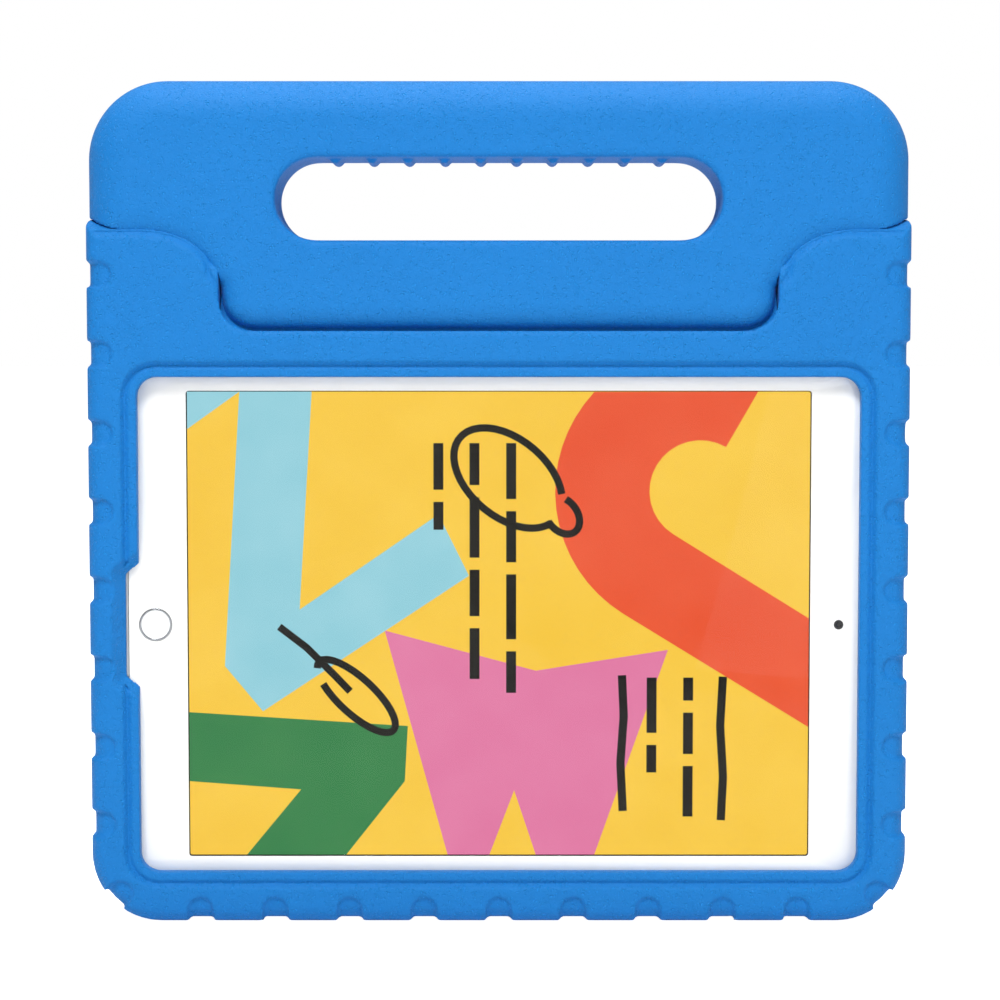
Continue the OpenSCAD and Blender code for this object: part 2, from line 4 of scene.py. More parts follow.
import bpy
import numpy as np
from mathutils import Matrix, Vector


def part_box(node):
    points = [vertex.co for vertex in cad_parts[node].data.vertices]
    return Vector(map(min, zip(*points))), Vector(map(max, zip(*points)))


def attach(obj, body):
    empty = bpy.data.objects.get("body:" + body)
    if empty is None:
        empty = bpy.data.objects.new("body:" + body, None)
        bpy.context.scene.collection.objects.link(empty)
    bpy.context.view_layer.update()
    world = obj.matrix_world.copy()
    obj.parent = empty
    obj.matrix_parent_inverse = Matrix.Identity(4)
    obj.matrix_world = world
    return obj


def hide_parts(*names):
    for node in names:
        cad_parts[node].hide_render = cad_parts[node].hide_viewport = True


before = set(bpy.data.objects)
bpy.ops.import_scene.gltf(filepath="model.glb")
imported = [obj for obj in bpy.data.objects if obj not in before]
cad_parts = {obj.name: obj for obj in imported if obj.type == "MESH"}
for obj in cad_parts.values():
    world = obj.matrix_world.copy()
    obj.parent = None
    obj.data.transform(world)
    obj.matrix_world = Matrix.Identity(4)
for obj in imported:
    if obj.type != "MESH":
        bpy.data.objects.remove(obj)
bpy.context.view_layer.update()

mm = 0.001


# ---- sizes, from the frame and the case's own values ----

case_high = Vector(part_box("foam_case")[1])
tablet_low, tablet_high = (Vector(corner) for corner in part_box("rear_housing"))
glass_low, glass_high = (Vector(corner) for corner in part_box("cover_glass"))
ring_low, ring_high = (Vector(corner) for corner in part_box("home_button_ring"))
pin_low, pin_high = (Vector(corner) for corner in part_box("hinge_pin_right"))
half_w = case_high.x
half_d = case_high.y
top_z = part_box("handle")[1][2]
pin_r = (pin_high.z - pin_low.z) / 2
hinge_z = (pin_high.z + pin_low.z) / 2
glass_y = glass_low.y
tablet_x = tablet_high.x
tablet_z = (tablet_high.z + tablet_low.z) / 2
tablet_half_h = (tablet_high.z - tablet_low.z) / 2
past = 1 * mm  # how far a cutter runs past the face that it opens
over = top_z + 9 * mm

# foam body
case_corner = 23.3 * mm
case_edge = 5.5 * mm
lip_side = 5.2 * mm
lip_end = 4.2 * mm
window_x = tablet_x - lip_side
window_h = tablet_half_h - lip_end
window_corner = 6.5 * mm
step_w = 4.05 * mm
step_t = 1 * mm
notch_reach = 3.9 * mm
notch_half = 20 * mm
notch_flare = 4.8 * mm
notch_turn = radians(40)
back_border = 38 * mm
back_top = 32 * mm
back_recess = 5 * mm
recess_corner = 14 * mm
tablet_corner = 12 * mm
tablet_room = 0.2 * mm
view_r = 7.5 * mm
view_back_r = 13 * mm
window_soft = 1.6 * mm
port_half = (4 * mm, 8 * mm)
sound_half = (2.5 * mm, 7 * mm)
key_half = (3.5 * mm, 7 * mm)
jack_r = 4 * mm
pin_bore = 16 * mm
pin_room = 0.05 * mm
body_over_hinge = 26 * mm
groove_w = 8.6 * mm
groove_reach = 9 * mm
groove_side = 1.1 * mm
groove_face = 1.2 * mm
side_pitch = 26.2 * mm
side_first = 33.5 * mm
side_count = 8
base_pitch = 25 * mm
base_count = 4

# seam between the body and the handle
tongue_half = 92.4 * mm
tongue_drop = half_d
shoulder_rise = 17.9 * mm
upper_w = 22.6 * mm
upper_h = 14 * mm
lower_w = 11.6 * mm
lower_h = 9.6 * mm
slope_x = 3.2 * mm
tongue_slope = 0.5 * mm
seam_half_gap = 0.2 * mm

# handle
handle_corner = 26.5 * mm
handle_edge = 13.7 * mm
grip_w = 145.2 * mm
grip_h = 26 * mm
grip_top = top_z - 26.4 * mm
grip_more = (1.2 * mm, 0.9 * mm, 0.2 * mm)  # at each end, below and above
rib_count = 10
rib_pitch = 12 * mm
rib_r = 1.7 * mm
rib_inset = 5 * mm
handle_fillet = 8.2 * mm
fillet_depths = (6.4 * mm, 2.6 * mm)
body_fillet = (2.6 * mm, 1.7 * mm)
step_groove = (1.3 * mm, 1.5 * mm)
seam_band = (1.2 * mm, 2.4 * mm)
tongue_block = 30 * mm

voxel = 0.65 * mm
body_triangles = 190000
handle_triangles = 150000


# ---- modelling helpers ----

def select_only(piece):
    """Makes a piece the one selected and active object."""
    bpy.ops.object.select_all(action="DESELECT")
    piece.select_set(True)
    bpy.context.view_layer.objects.active = piece


def arc(x, z, radius, start, end, steps=12):
    """Points along an arc in X and Z, from one angle to another in degrees."""
    angles = [radians(start + (end - start) * i / steps) for i in range(steps + 1)]
    return [(x + radius * cos(a), z + radius * sin(a)) for a in angles]


def rounded(x0, x1, z0, z1, radius, steps=12):
    """A rectangle outline with round corners, anticlockwise."""
    return (arc(x1 - radius, z1 - radius, radius, 0, 90, steps)
            + arc(x0 + radius, z1 - radius, radius, 90, 180, steps)
            + arc(x0 + radius, z0 + radius, radius, 180, 270, steps)
            + arc(x1 - radius, z0 + radius, radius, 270, 360, steps))


def prism(name, outline, start, end, axis="Y"):
    """A solid with this outline, extruded along an axis from start to end."""
    place = {"X": lambda u, v: (start, u, v),
             "Y": lambda u, v: (u, start, v),
             "Z": lambda u, v: (u, v, start)}[axis]
    bpy.ops.object.select_all(action="DESELECT")
    bpy.ops.mesh.primitive_circle_add(vertices=len(outline), fill_type="NGON")
    piece = bpy.context.object
    piece.name = name
    for vertex, (u, v) in zip(piece.data.vertices, outline):
        vertex.co = place(u, v)
    step = [0, 0, 0]
    step["XYZ".index(axis)] = end - start
    bpy.ops.object.mode_set(mode="EDIT")
    bpy.ops.mesh.select_all(action="SELECT")
    bpy.ops.mesh.extrude_region_move(TRANSFORM_OT_translate={"value": step})
    bpy.ops.mesh.select_all(action="SELECT")
    bpy.ops.mesh.normals_make_consistent(inside=False)
    bpy.ops.object.mode_set(mode="OBJECT")
    return piece


def block(name, low, high):
    """A box between two corners."""
    bpy.ops.object.select_all(action="DESELECT")
    bpy.ops.mesh.primitive_cube_add(size=1)
    piece = bpy.context.object
    piece.name = name
    low, high = Vector(low), Vector(high)
    for vertex in piece.data.vertices:
        vertex.co = [low[i] + (vertex.co[i] + 0.5) * (high[i] - low[i]) for i in range(3)]
    return piece


def tube(name, centre, radius, length, axis, end_radius=None, sides=64):
    """A cylinder or cone that starts at centre and runs along an axis."""
    turn = {"X": (0, pi / 2, 0), "Y": (-pi / 2, 0, 0), "Z": (0, 0, 0)}[axis]
    step = {"X": (1, 0, 0), "Y": (0, 1, 0), "Z": (0, 0, 1)}[axis]
    bpy.ops.object.select_all(action="DESELECT")
    bpy.ops.mesh.primitive_cone_add(
        vertices=sides, radius1=radius, depth=length,
        radius2=radius if end_radius is None else end_radius,
        location=Vector(centre) + Vector(step) * length / 2, rotation=turn)
    piece = bpy.context.object
    piece.name = name
    bpy.ops.object.transform_apply(location=True, rotation=True, scale=True)
    return piece


def bevel(piece, chosen, width, segments=8):
    """Rounds the edges whose middle and direction the test chooses."""
    mesh = piece.data
    for vertex in mesh.vertices:
        vertex.select = False
    for face in mesh.polygons:
        face.select = False
    for edge in mesh.edges:
        a, b = (mesh.vertices[i].co for i in edge.vertices)
        edge.select = bool(chosen((a + b) / 2, (b - a).normalized()))
    select_only(piece)
    bpy.context.tool_settings.mesh_select_mode = (False, True, False)
    bpy.ops.object.mode_set(mode="EDIT")
    bpy.ops.mesh.bevel(offset=width, segments=segments, affect="EDGES")
    bpy.ops.object.mode_set(mode="OBJECT")
    return piece


def apply_modifier(piece, modifier):
    select_only(piece)
    bpy.ops.object.modifier_apply(modifier=modifier.name)


def combine(piece, other, operation):
    """Cuts, joins or intersects piece with other, and removes other."""
    modifier = piece.modifiers.new(operation.lower(), "BOOLEAN")
    modifier.operation = operation
    modifier.solver = "MANIFOLD"
    modifier.object = other
    apply_modifier(piece, modifier)
    bpy.data.objects.remove(other, do_unlink=True)
    return piece


def cut(piece, *tools):
    for tool in tools:
        combine(piece, tool, "DIFFERENCE")
    return piece


def add(piece, *parts):
    for part in parts:
        combine(piece, part, "UNION")
    return piece


def keep(piece, tool):
    return combine(piece, tool, "INTERSECT")


def join(name, *pieces):
    """One object that holds the meshes of several."""
    bpy.ops.object.select_all(action="DESELECT")
    for piece in pieces:
        piece.select_set(True)
    bpy.context.view_layer.objects.active = pieces[0]
    bpy.ops.object.join()
    pieces[0].name = name
    return pieces[0]


def revolve(name, profile, steps=120):
    """A solid of revolution round the hinge axis, from points of (radius, x)."""
    bpy.ops.object.select_all(action="DESELECT")
    bpy.ops.mesh.primitive_circle_add(vertices=len(profile), fill_type="NOTHING")
    piece = bpy.context.object
    piece.name = name
    mesh = piece.data
    for vertex, (radius, x) in zip(mesh.vertices, profile):
        vertex.co = (x, 0, hinge_z + radius)
        vertex.select = False
    ends = {0, len(profile) - 1}
    for edge in mesh.edges:
        edge.select = set(edge.vertices) == ends
    bpy.context.tool_settings.mesh_select_mode = (False, True, False)
    bpy.ops.object.mode_set(mode="EDIT")
    bpy.ops.mesh.delete(type="EDGE")
    bpy.ops.mesh.select_all(action="SELECT")
    bpy.ops.mesh.spin(steps=steps, angle=2 * pi, center=(0, 0, hinge_z), axis=(1, 0, 0))
    bpy.ops.mesh.select_all(action="SELECT")
    bpy.ops.mesh.remove_doubles(threshold=1e-6)
    bpy.ops.mesh.normals_make_consistent(inside=False)
    bpy.ops.object.mode_set(mode="OBJECT")
    return piece


def positions(piece):
    """The vertices of a piece as an array."""
    points = np.empty(len(piece.data.vertices) * 3)
    piece.data.vertices.foreach_get("co", points)
    return points.reshape(-1, 3)


def smooth_where(piece, weights, rounds):
    """Smooths a piece by the weight of each vertex, from 0 to 1."""
    group = piece.vertex_groups.new(name="soft")
    steps = np.clip(np.round(weights * 4), 0, 4).astype(int)
    for level in range(1, 5):
        chosen = np.nonzero(steps == level)[0]
        if len(chosen):
            group.add(chosen.tolist(), level / 4, "REPLACE")
    modifier = piece.modifiers.new("soft", "SMOOTH")
    modifier.factor = 0.5
    modifier.iterations = rounds
    modifier.vertex_group = group.name
    apply_modifier(piece, modifier)
    piece.vertex_groups.clear()


def skin(piece):
    """Turns a cut solid into one even skin of moulded foam."""
    modifier = piece.modifiers.new("skin", "REMESH")
    modifier.mode = "VOXEL"
    modifier.voxel_size = voxel
    apply_modifier(piece, modifier)
    smooth_where(piece, np.ones(len(piece.data.vertices)), 2)


def thin_out(piece, most):
    """Removes the triangles that flat foam doesn't need, and shades it smooth."""
    triangles = sum(len(face.vertices) - 2 for face in piece.data.polygons)
    modifier = piece.modifiers.new("thin", "DECIMATE")
    modifier.ratio = min(1.0, most / triangles)
    apply_modifier(piece, modifier)
    select_only(piece)
    bpy.ops.object.shade_smooth()


def distance_to_line(points, line):
    """How far each point in X and Z is from a broken line."""
    best = np.full(len(points), 1.0)
    for (x0, z0), (x1, z1) in zip(line, line[1:]):
        start, run = np.array((x0, z0)), np.array((x1 - x0, z1 - z0))
        t = np.clip((points - start) @ run / (run @ run), 0, 1)
        best = np.minimum(best, np.linalg.norm(points - start - t[:, None] * run, axis=1))
    return best


def place_points(piece, points):
    """Moves the vertices of a piece to these places."""
    piece.data.vertices.foreach_set("co", points.ravel())
    piece.data.update()


def fade(distance, near, far):
    """1 nearer than near, falling to 0 at far."""
    return np.clip((far - distance) / (far - near), 0, 1)


def round_over(piece, distance, width, depth):
    """Draws the front and back faces in to a soft round along a line."""
    points = positions(piece)
    short = 1 - np.clip((distance - seam_half_gap) / width, 0, 1)
    limit = half_d - depth * (1 - np.sqrt(1 - short ** 2))
    points[:, 1] = np.clip(points[:, 1], -limit, limit)
    place_points(piece, points)


def press_line(piece, outline, before, width, depth):
    """Presses a soft line into the front face along a closed outline."""
    points = positions(piece)
    near = distance_to_line(points[:, (0, 2)], outline + outline[:1])
    push = depth * np.clip(1 - near / width, 0, 1)
    points[:, 1] += np.where(points[:, 1] < before, push, 0)
    place_points(piece, points)


# ---- the seam's curves ----

def shoulder_points(steps=20):
    """X and height above the hinge along the shoulder, outwards."""
    angles = [pi / 2 * i / steps for i in range(steps + 1)]
    return [(tongue_half + slope_x + upper_w * (1 - cos(a)),
             shoulder_rise - upper_h + upper_h * sin(a)) for a in angles]


def tongue_points(steps=20):
    """X and height above the hinge down the tongue's side, inwards."""
    angles = [pi / 2 * i / steps for i in range(steps + 1)]
    return [(tongue_half - tongue_slope - lower_w * (1 - cos(a)),
             lower_h - tongue_drop - lower_h * sin(a)) for a in angles]


def knuckle(shift, grow):
    """The right shoulder's round end, about the hinge axis."""
    curve = [(hypot(half_d, z) + grow, x + shift) for x, z in shoulder_points()]
    far = half_w + 2 * mm
    outline = [(0, tongue_half + shift), (half_d + grow, tongue_half + shift)] + curve
    outline += [(hypot(half_d, shoulder_rise) + grow, far), (0, far)]
    return revolve("knuckle", outline)


def mirrored(piece):
    """A copy of a piece on the other side of the middle."""
    other = piece.copy()
    other.data = piece.data.copy()
    bpy.context.collection.objects.link(other)
    for vertex in other.data.vertices:
        vertex.co.x = -vertex.co.x
    select_only(other)
    bpy.ops.object.mode_set(mode="EDIT")
    bpy.ops.mesh.select_all(action="SELECT")
    bpy.ops.mesh.normals_make_consistent(inside=False)
    bpy.ops.object.mode_set(mode="OBJECT")
    return other


def knuckles(shift, grow):
    right = knuckle(shift, grow)
    return [right, mirrored(right)]


def tongue_round(shift, grow):
    """The round of the hinge tongue, about the hinge axis, with both its ends."""
    curve = [(hypot(half_d, z) + grow, x + shift) for x, z in tongue_points()]
    right = [(0, tongue_half + shift), (half_d + grow, tongue_half + shift)] + curve
    left = [(radius, -x) for radius, x in reversed(right)]
    return revolve("tongue_round", right + left)


seam_line = [(half_w, hinge_z + shoulder_rise)]
seam_line += [(x, hinge_z + z) for x, z in reversed(shoulder_points())]
seam_line += [(tongue_half, hinge_z)]
seam_line += [(x, hinge_z + z) for x, z in tongue_points()]
seam_line += [(-x, z) for x, z in reversed(seam_line)]


# ---- foam body ----

def slab(name, width, depth, z0, z1, edge, corner):
    """The body's blank: round lower corners and a rounded rim, open-ended at the top."""
    x = width / 2
    outline = [(x, z1), (-x, z1)] + arc(corner - x, z0 + corner, corner, 180, 270)
    outline += arc(x - corner, z0 + corner, corner, 270, 360)
    piece = prism(name, outline, -depth / 2, depth / 2)
    return bevel(piece, lambda at, way: abs(way.y) < 0.5 and at.z < z1 - past, edge)


def groove_cutters():
    """Shallow channels with round ends that wrap the sides, the corners and the base."""
    r = groove_w / 2
    out = 4 * mm
    outline = ([(-out, -r), (groove_reach - r, -r)]
               + arc(groove_reach - r, 0, r, -80, 80, 8) + [(groove_reach - r, r), (-out, r)])
    master = prism("groove", outline, -half_d - out, half_d + out)

    def channel(x, z, turn):
        piece = master.copy()
        piece.data = master.data.copy()
        bpy.context.collection.objects.link(piece)
        for vertex in piece.data.vertices:
            u, v = vertex.co.x, vertex.co.z
            vertex.co.x = x + u * cos(turn) - v * sin(turn)
            vertex.co.z = z + u * sin(turn) + v * cos(turn)
        return piece

    inward = half_w - case_corner + case_corner * cos(pi / 4)
    rise = case_corner * (1 - cos(pi / 4))
    channels = []
    for i in range(side_count):
        z = side_first + i * side_pitch
        channels += [channel(-half_w, z, 0), channel(half_w, z, pi)]
    channels += [channel(-inward, rise, pi / 4), channel(inward, rise, 3 * pi / 4)]
    for i in range(-base_count, base_count + 1):
        channels.append(channel(i * base_pitch, 0, pi / 2))
    bpy.data.objects.remove(master, do_unlink=True)
    cutters = join("grooves", *channels)
    inner = slab("inner", 2 * (half_w - groove_side), 2 * (half_d - groove_face), groove_side,
                 top_z, case_edge, case_corner - groove_side)
    return cut(cutters, inner)


def thumb_notch():
    """The cut beside the home button, whose walls slope out towards the front."""
    lip_x = -window_x
    slope = notch_flare / (half_d + glass_y)
    far_y = -half_d - past

    def corners(y):
        flare = (glass_y - y) * slope
        near, far = lip_x + past, lip_x - notch_reach - flare
        rise = [notch_half + (x - lip_x) * tan(notch_turn) + flare / cos(notch_turn)
                for x in (near, far)]
        return [(near, tablet_z + rise[0]), (far, tablet_z + rise[1]),
                (far, tablet_z - rise[1]), (near, tablet_z - rise[0])]

    piece = prism("thumb_notch", corners(glass_y), glass_y, far_y)
    moves = list(zip(corners(glass_y), corners(far_y)))
    for vertex in piece.data.vertices:
        if vertex.co.y < glass_y - past:
            at = (vertex.co.x, vertex.co.z)
            vertex.co.x, vertex.co.z = min(moves, key=lambda move: hypot(
                move[0][0] - at[0], move[0][1] - at[1]))[1]
    return piece


def side_windows():
    """Openings through the foam to the sockets, speakers and buttons, with soft corners."""
    def box(name, low, high, axis):
        piece = block(name, low, high)
        return bevel(piece, lambda at, way: abs(way[axis]) > 0.5, window_soft, 5)

    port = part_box("charge_port")
    port_y = (port[0][1] + port[1][1]) / 2
    left, far = -half_w - past, -tablet_x
    made = [box("port_window", (left, port_y - port_half[0], tablet_z - port_half[1]),
                (far, port_y + port_half[0], tablet_z + port_half[1]), 0)]
    for name in ("speaker_upper", "speaker_lower"):
        z = (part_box(name)[0][2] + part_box(name)[1][2]) / 2
        made.append(box("sound_window", (left, port_y - sound_half[0], z - sound_half[1]),
                        (far, port_y + sound_half[0], z + sound_half[1]), 0))
    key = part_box("power_button")
    key_y, key_z = (key[0][1] + key[1][1]) / 2, (key[0][2] + key[1][2]) / 2
    made.append(box("power_window", (tablet_x, key_y - key_half[0], key_z - key_half[1]),
                    (half_w + past, key_y + key_half[0], key_z + key_half[1]), 0))
    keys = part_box("volume_down_button")[0][0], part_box("volume_up_button")[1][0]
    made.append(box("volume_window", (keys[0] - mm, key_y - key_half[0], -past),
                    (keys[1] + mm, key_y + key_half[0], tablet_low.z), 2))
    jack_low, jack_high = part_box("headphone_jack")
    made.append(tube("jack_hole", (tablet_x, key_y, (jack_low[2] + jack_high[2]) / 2), jack_r,
                     half_w - tablet_x + past, "X"))
    return made


def step_outline():
    """The outer edge of the shallow step round the window."""
    x, z = window_x + step_w, window_h + step_w
    return rounded(-x, x, tablet_z - z, tablet_z + z, window_corner + step_w)


def body_solid():
    """The body with every cut, before its skin."""
    body = slab("foam_body", 2 * half_w, 2 * half_d, 0, hinge_z + body_over_hinge, case_edge,
                case_corner)
    fold = hinge_z - half_d - 2 * seam_half_gap
    above = prism("above", [(-half_d - past, hinge_z), (0, hinge_z), (0, fold),
                            (half_d + past, fold), (half_d + past, over), (-half_d - past, over)],
                  -half_w - past, half_w + past, "X")
    cut(above, *knuckles(seam_half_gap, -seam_half_gap))
    cut(body, above, tongue_round(seam_half_gap, seam_half_gap), groove_cutters())
    wide = tablet_x + tablet_room
    pocket = rounded(-wide, wide, tablet_low.z - tablet_room, tablet_high.z + tablet_room,
                     tablet_corner + tablet_room)
    window = rounded(-window_x, window_x, tablet_z - window_h, tablet_z + window_h,
                     window_corner)
    hollow_x = half_w - back_border
    hollow = rounded(-hollow_x, hollow_x, back_border, hinge_z - half_d - back_top,
                     recess_corner)
    lens_low, lens_high = (Vector(corner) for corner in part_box("rear_camera_lens"))
    lens = (lens_low + lens_high) / 2
    cut(body,
        prism("pocket", pocket, glass_y, tablet_high.y),
        prism("window", window, -half_d - past, glass_y + past),
        prism("step", step_outline(), -half_d - past, step_t - half_d),
        prism("hollow", hollow, half_d - back_recess, half_d + past),
        tube("view_hole", (lens.x, glass_y, lens.z), view_r, tablet_high.y - glass_y + past,
             "Y"),
        tube("view_cone", (lens.x, tablet_high.y, lens.z), view_r,
             half_d - tablet_high.y + past, "Y", end_radius=view_back_r),
        tube("pin_bore_right", (tongue_half - past, 0, hinge_z), pin_r + pin_room, pin_bore, "X"),
        tube("pin_bore_left", (past - tongue_half - pin_bore, 0, hinge_z), pin_r + pin_room,
             pin_bore, "X"),
        thumb_notch(), *side_windows())
    return body


def foam_body():
    """The foam body with its soft seam edge and the line round the window's step."""
    body = body_solid()
    skin(body)
    points = positions(body)
    rim = half_d - np.abs(points[:, 1])
    seam = distance_to_line(points[:, (0, 2)], seam_line)
    round_over(body, seam, *body_fillet)
    smooth_where(body, fade(seam, *seam_band) * fade(rim, 3 * mm, 4 * mm), 4)
    press_line(body, step_outline(), step_t * 2 - half_d, *step_groove)
    thin_out(body, body_triangles)
    return body


# ---- handle ----

def handle_solid():
    """The handle with its grip hole, ribs and hinge tongue, before its skin."""
    outline = [(-half_w, hinge_z), (half_w, hinge_z)]
    outline += arc(half_w - handle_corner, top_z - handle_corner, handle_corner, 0, 90, 20)
    outline += arc(handle_corner - half_w, top_z - handle_corner, handle_corner, 90, 180, 20)
    form = prism("foam_handle", outline, -half_d, half_d)
    bevel(form, lambda at, way: abs(way.y) < 0.5 and at.z > hinge_z + past / 4, handle_edge, 12)
    cut(form, *knuckles(-seam_half_gap, seam_half_gap))
    low, high = grip_top - grip_h - grip_more[1], grip_top + grip_more[2]
    wide = grip_w / 2 + grip_more[0]
    grip = rounded(-wide, wide, low, high, (high - low) / 2 - 0.05 * mm, 16)
    cut(form, prism("grip_hole", grip, -half_d - past, half_d + past))
    tongue = tongue_round(-seam_half_gap, -seam_half_gap)
    keep(tongue, block("below", (-half_w, -half_d, hinge_z - tongue_block),
                       (half_w, half_d, hinge_z + past)))
    add(form, tongue)
    for i in range(rib_count):
        x = (i - (rib_count - 1) / 2) * rib_pitch
        add(form, tube("rib", (x, rib_inset - half_d, grip_top + 0.2 * mm), rib_r,
                       2 * (half_d - rib_inset), "Y", sides=24))
    cut(form, tube("pin_hole_right", (pin_low.x, 0, hinge_z), pin_r, pin_bore, "X"),
        tube("pin_hole_left", (-pin_low.x - pin_bore, 0, hinge_z), pin_r, pin_bore, "X"))
    return form


def foam_handle():
    """The foam handle with its deep soft lower edge and its rounded grip hole."""
    handle = handle_solid()
    skin(handle)
    points = positions(handle)
    flat = points[:, (0, 2)]
    rim = half_d - np.abs(points[:, 1])
    seam = distance_to_line(flat, seam_line)
    depth = np.interp(points[:, 2] - hinge_z, (0, 12 * mm), fillet_depths)
    round_over(handle, seam, handle_fillet, depth)
    smooth_where(handle, fade(seam, *seam_band) * fade(rim, 7 * mm, 9 * mm), 5)
    grip = rounded(-grip_w / 2, grip_w / 2, grip_top - grip_h, grip_top, grip_h / 2, 10)
    hole = distance_to_line(flat, grip + grip[:1])
    smooth_where(handle, fade(hole, 3 * mm, 5 * mm) * fade(rim, 3 * mm, 5 * mm), 30)
    thin_out(handle, handle_triangles)
    return handle


# ---- tablet ----

def soft_edges(piece, width, segments=3, sharp=30):
    """Rounds every hard edge of a piece, and shades it."""
    modifier = piece.modifiers.new("edges", "BEVEL")
    modifier.width = width
    modifier.segments = segments
    modifier.limit_method = "ANGLE"
    modifier.angle_limit = radians(sharp)
    apply_modifier(piece, modifier)
    select_only(piece)
    bpy.ops.object.shade_smooth_by_angle(angle=edge_facets)
    return piece


lit_x = 103.9 * mm
lit_z = 77.95 * mm
lit_corner = 0.6 * mm
black_edge = 0.35 * mm
eye_r = 1.6 * mm
edge_facets = radians(35)


def lit_outline(grow=0.0):
    """The lit area's outline, made larger all round by grow."""
    return rounded(-lit_x - grow, lit_x + grow, tablet_z - lit_z - grow, tablet_z + lit_z + grow,
                   lit_corner + grow, 4)


def glass_border():
    """The white surround of the screen, with its hole for the home button."""
    corner = tablet_corner - (tablet_x - glass_high.x)
    outline = rounded(glass_low.x, glass_high.x, glass_low.z, glass_high.z, corner, 16)
    border = prism("glass_border", outline, glass_low.y, glass_high.y)
    cut(border, prism("lit_cut", lit_outline(black_edge), glass_low.y - past, glass_high.y + past),
        tube("home_hole", ((ring_low.x + ring_high.x) / 2, glass_low.y - past, tablet_z),
             (ring_high.x - ring_low.x) / 2 + 0.12 * mm, 4 * past, "Y"),
        tube("eye_hole", (eye_x(), glass_low.y - past, tablet_z), eye_r, 4 * past, "Y"))
    return soft_edges(border, 0.12 * mm, 2)


def eye_x():
    low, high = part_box("front_camera")
    return (low[0] + high[0]) / 2


def screen_glass():
    """The clear pane over the picture."""
    pane = prism("screen_glass", lit_outline(black_edge - 0.02 * mm), glass_low.y, glass_high.y)
    return soft_edges(pane, 0.08 * mm, 2)


def inset_front(piece, rings):
    """Insets the front face once for each ring of (width, depth) in millimetres."""
    for item in list(piece.data.vertices) + list(piece.data.edges):
        item.select = False
    for face in piece.data.polygons:
        face.select = face.normal.y < -0.9
    select_only(piece)
    bpy.context.tool_settings.mesh_select_mode = (False, False, True)
    bpy.ops.object.mode_set(mode="EDIT")
    for width, depth in rings:
        bpy.ops.mesh.inset(thickness=width * mm, depth=-depth * mm)
    bpy.ops.object.mode_set(mode="OBJECT")
    return piece


def camera_eye():
    """The front camera's clear spot: a black disc with a small dished lens."""
    piece = tube("camera_eye", (eye_x(), glass_low.y + 0.02 * mm, tablet_z), eye_r - 0.03 * mm,
                 0.9 * mm, "Y", sides=40)
    return inset_front(piece, ((0.7, 0), (0.25, 0.2)))


def home_cap():
    """The pressed disc, slightly dished, with a rounded rim."""
    low, high = (Vector(corner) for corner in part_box("home_button"))
    radius = (high.x - low.x) / 2
    centre = (low.x + high.x) / 2
    piece = tube("home_cap", (centre, low.y, tablet_z), radius, high.y - low.y, "Y", sides=96)
    inset_front(piece, ((0.35, 0.02), (0.9, 0.05), (1.4, 0.06), (1.2, 0.03)))
    return soft_edges(piece, 0.15 * mm, 3, sharp=50)


def home_ring():
    """The metal ring round the home button."""
    low, high = ring_low, ring_high
    centre = (low.x + high.x) / 2
    radius = (high.x - low.x) / 2
    piece = tube("home_ring", (centre, low.y, tablet_z), radius, high.y - low.y, "Y", sides=96)
    cut(piece, tube("bore", (centre, low.y - past, tablet_z), radius - 0.55 * mm, 4 * past, "Y",
                    sides=96))
    return soft_edges(piece, 0.12 * mm, 3, sharp=50)


def edge_key(name, node, axis):
    """An edge button with round ends, on the flange that keeps it in the housing."""
    low, high = (Vector(corner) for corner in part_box(node))
    middle = (low + high) / 2
    half_t = (high.y - low.y) / 2
    long_axis = 2 if axis == "X" else 0
    half_l = (high[long_axis] - low[long_axis]) / 2 - 0.8 * mm
    straight = half_l - half_t
    stadium = (arc(middle[long_axis] + straight, middle.y, half_t, -90, 90, 10)
               + arc(middle[long_axis] - straight, middle.y, half_t, 90, 270, 10))
    if axis == "X":
        cap = prism(name, [(y, z) for z, y in stadium], low.x + 0.3 * mm, high.x, "X")
        flange = block("flange", low, (low.x + 0.6 * mm, high.y, high.z))
    else:
        cap = prism(name, stadium, low.z, high.z - 0.3 * mm, "Z")
        flange = block("flange", (low.x, low.y, high.z - 0.6 * mm), high)
    soft_edges(cap, 0.35 * mm, 4, sharp=50)
    add(cap, flange)
    select_only(cap)
    bpy.ops.object.shade_smooth_by_angle(angle=edge_facets)
    return cap


# ---- picture on the screen ----

picture_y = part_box("display_panel")[0][1]


def card(name, outline, layer):
    """A thin shape of the picture, given as shares of its width and height from the top left."""
    places = [(lit_x * (2 * u - 1), tablet_z + lit_z * (1 - 2 * v)) for u, v in outline]
    near = picture_y - (0.012 + 0.012 * layer) * mm
    return prism(name, places, near, near + 0.008 * mm)


def stroke(points, width=0.62 * mm):
    """The outline of a pen stroke along a broken line, width to each side."""
    left, right = [], []
    for i, (u, v) in enumerate(points):
        a = points[max(i - 1, 0)]
        b = points[min(i + 1, len(points) - 1)]
        du, dv = (b[0] - a[0]) * lit_x, (b[1] - a[1]) * lit_z
        size = hypot(du, dv)
        du, dv = du / size * width, dv / size * width
        left.append((u - dv / lit_x, v + du / lit_z))
        right.append((u + dv / lit_x, v - du / lit_z))
    return left + right[::-1]


def picture_arc(u, v, radius, start, end, steps=16):
    """Points along an arc on the picture, by its radius in metres."""
    return [(u + radius * cos(radians(start + (end - start) * i / steps)) / (2 * lit_x),
             v - radius * sin(radians(start + (end - start) * i / steps)) / (2 * lit_z))
            for i in range(steps + 1)]


